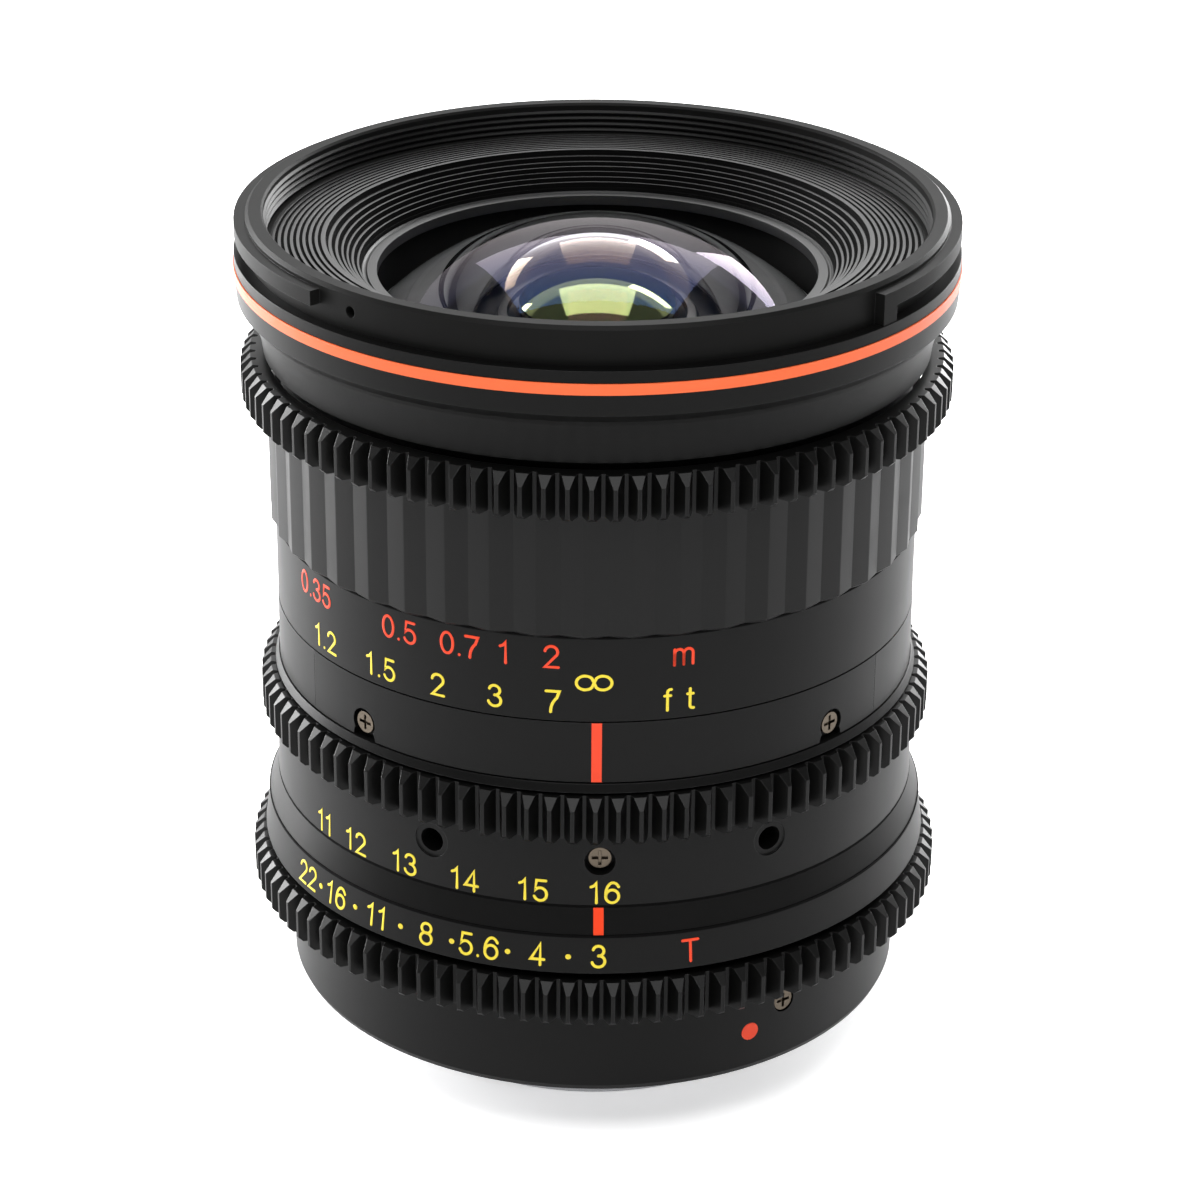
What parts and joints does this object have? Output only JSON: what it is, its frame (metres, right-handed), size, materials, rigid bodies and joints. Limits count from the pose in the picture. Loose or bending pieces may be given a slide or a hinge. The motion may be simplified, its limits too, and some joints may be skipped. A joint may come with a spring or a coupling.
{
  "type": "wide-angle cinema zoom lens",
  "caption": "Wide-angle cinema zoom lens with geared focus, zoom and aperture rings, working iris, sliding lens groups and a rear bayonet.",
  "frame": {"origin": "centre of the rear edge of the bayonet, the surface that the lens stands on", "axes": "+Z is the optical axis towards the subject, -Y faces the index lines and engraved scales, +X is to the right of them"},
  "size_m": [0.0832, 0.0832, 0.103],
  "materials": {
    "black_anodised": "satin black anodised aluminium",
    "black_inner": "matte black anodised aluminium",
    "baffle_black": "matte dark grey, finely ridged",
    "grip_rubber": "matte moulded black rubber",
    "bayonet_steel": "bright plated",
    "screw_steel": "dark nickel",
    "link_steel": "plain",
    "blade_black": "matte black",
    "roller_brass": "turned",
    "signal_red": "bright enamel",
    "coated_glass": "multi-coated optical glass"
  },
  "bodies": {
    "barrel": {"bayonet_mount": "bayonet_steel", "mount_screws": "screw_steel", "rear_baffle": "baffle_black", "mount_cover": "black_anodised", "base_screws": "screw_steel", "mount_index": "signal_red", "ring_bearing": "black_inner", "guide_tube": "black_inner", "index_ring": "black_anodised", "zoom_sleeve": "black_inner", "centre_barrel": "black_anodised", "index_plate": "black_anodised", "plate_screws": "screw_steel", "front_barrel": "black_anodised", "red_ring": "signal_red", "hood_ring": "black_anodised", "front_baffle": "baffle_black", "front_element": "coated_glass", "front_cell": "black_inner", "second_element": "coated_glass"},
    "focus_ring": {"focus_ring": "black_anodised", "distance_scale": "black_anodised", "focus_grip": "grip_rubber", "focus_gear": "black_anodised", "focus_helicoid": "black_inner"},
    "focus_group": {"focus_cell": "black_inner", "focus_element": "coated_glass", "focus_rollers": "roller_brass"},
    "zoom_ring": {"zoom_ring": "black_anodised", "zoom_gear": "black_anodised", "zoom_keys": "link_steel", "zoom_screws": "screw_steel", "cam_barrel": "black_inner"},
    "variator_group": {"variator_cell": "black_inner", "variator_element": "coated_glass", "variator_rollers": "roller_brass"},
    "rear_group": {"rear_tube": "black_inner", "rear_rollers": "roller_brass", "rear_cell": "black_inner", "rear_element": "coated_glass", "relay_cell": "black_inner", "relay_element": "coated_glass", "iris_housing": "black_inner", "iris_retainer": "black_inner"},
    "aperture_ring": {"aperture_ring": "black_anodised", "aperture_gear": "black_anodised", "aperture_link": "link_steel"},
    "iris_ring": {"iris_ring": "link_steel"},
    "blade_1": {"iris_blade_1": "blade_black"},
    "blade_2": {"iris_blade_2": "blade_black"},
    "blade_3": {"iris_blade_3": "blade_black"},
    "blade_4": {"iris_blade_4": "blade_black"},
    "blade_5": {"iris_blade_5": "blade_black"},
    "blade_6": {"iris_blade_6": "blade_black"},
    "blade_7": {"iris_blade_7": "blade_black"},
    "blade_8": {"iris_blade_8": "blade_black"},
    "blade_9": {"iris_blade_9": "blade_black"}
  },
  "joints": [
    {"name": "focus_turn", "type": "hinge", "parent": "barrel", "child": "focus_ring", "pos_m": [0, 0, 0.07], "axis": [0, 0, 1], "range_deg": [0, 66]},
    {"name": "focus_slide", "type": "slide", "parent": "barrel", "child": "focus_group", "axis": [0, 0, 1], "range_m": [0, 0.003]},
    {"name": "zoom_turn", "type": "hinge", "parent": "barrel", "child": "zoom_ring", "pos_m": [0, 0, 0.04], "axis": [0, 0, 1], "range_deg": [0, 57.8]},
    {"name": "variator_slide", "type": "slide", "parent": "barrel", "child": "variator_group", "axis": [0, 0, 1], "range_m": [0, 0.0046]},
    {"name": "rear_slide", "type": "slide", "parent": "barrel", "child": "rear_group", "axis": [0, 0, 1], "range_m": [-0.0045, 0]},
    {"name": "aperture_turn", "type": "hinge", "parent": "barrel", "child": "aperture_ring", "pos_m": [0, 0, 0.025], "axis": [0, 0, 1], "range_deg": [0, 58.2]},
    {"name": "iris_ring_turn", "type": "hinge", "parent": "rear_group", "child": "iris_ring", "pos_m": [0, 0, 0.028], "axis": [0, 0, 1], "range_deg": [0, 58.2]},
    {"name": "blade_1_swing", "type": "hinge", "parent": "rear_group", "child": "blade_1", "pos_m": [0, -0.0142, 0.0265], "axis": [0, 0, 1], "range_deg": [0, 30.2]},
    {"name": "blade_2_swing", "type": "hinge", "parent": "rear_group", "child": "blade_2", "pos_m": [0.00913, -0.01088, 0.0265], "axis": [0, 0, 1], "range_deg": [0, 30.2]},
    {"name": "blade_3_swing", "type": "hinge", "parent": "rear_group", "child": "blade_3", "pos_m": [0.01398, -0.00247, 0.0265], "axis": [0, 0, 1], "range_deg": [0, 30.2]},
    {"name": "blade_4_swing", "type": "hinge", "parent": "rear_group", "child": "blade_4", "pos_m": [0.0123, 0.0071, 0.0265], "axis": [0, 0, 1], "range_deg": [0, 30.2]},
    {"name": "blade_5_swing", "type": "hinge", "parent": "rear_group", "child": "blade_5", "pos_m": [0.00486, 0.01334, 0.0265], "axis": [0, 0, 1], "range_deg": [0, 30.2]},
    {"name": "blade_6_swing", "type": "hinge", "parent": "rear_group", "child": "blade_6", "pos_m": [-0.00486, 0.01334, 0.0265], "axis": [0, 0, 1], "range_deg": [0, 30.2]},
    {"name": "blade_7_swing", "type": "hinge", "parent": "rear_group", "child": "blade_7", "pos_m": [-0.0123, 0.0071, 0.0265], "axis": [0, 0, 1], "range_deg": [0, 30.2]},
    {"name": "blade_8_swing", "type": "hinge", "parent": "rear_group", "child": "blade_8", "pos_m": [-0.01398, -0.00247, 0.0265], "axis": [0, 0, 1], "range_deg": [0, 30.2]},
    {"name": "blade_9_swing", "type": "hinge", "parent": "rear_group", "child": "blade_9", "pos_m": [-0.00913, -0.01088, 0.0265], "axis": [0, 0, 1], "range_deg": [0, 30.2]}
  ],
  "couplings": [
    {"joint": "focus_slide", "follows": "focus_turn", "m_per_rad": 0.002604},
    {"joint": "variator_slide", "follows": "zoom_turn", "m_per_rad": 0.004559},
    {"joint": "rear_slide", "follows": "zoom_turn", "m_per_rad": -0.00446},
    {"joint": "iris_ring_turn", "follows": "aperture_turn", "ratio": 1},
    {"joint": "blade_1_swing", "follows": "aperture_turn", "ratio": 0.5189},
    {"joint": "blade_2_swing", "follows": "aperture_turn", "ratio": 0.5189},
    {"joint": "blade_3_swing", "follows": "aperture_turn", "ratio": 0.5189},
    {"joint": "blade_4_swing", "follows": "aperture_turn", "ratio": 0.5189},
    {"joint": "blade_5_swing", "follows": "aperture_turn", "ratio": 0.5189},
    {"joint": "blade_6_swing", "follows": "aperture_turn", "ratio": 0.5189},
    {"joint": "blade_7_swing", "follows": "aperture_turn", "ratio": 0.5189},
    {"joint": "blade_8_swing", "follows": "aperture_turn", "ratio": 0.5189},
    {"joint": "blade_9_swing", "follows": "aperture_turn", "ratio": 0.5189}
  ]
}
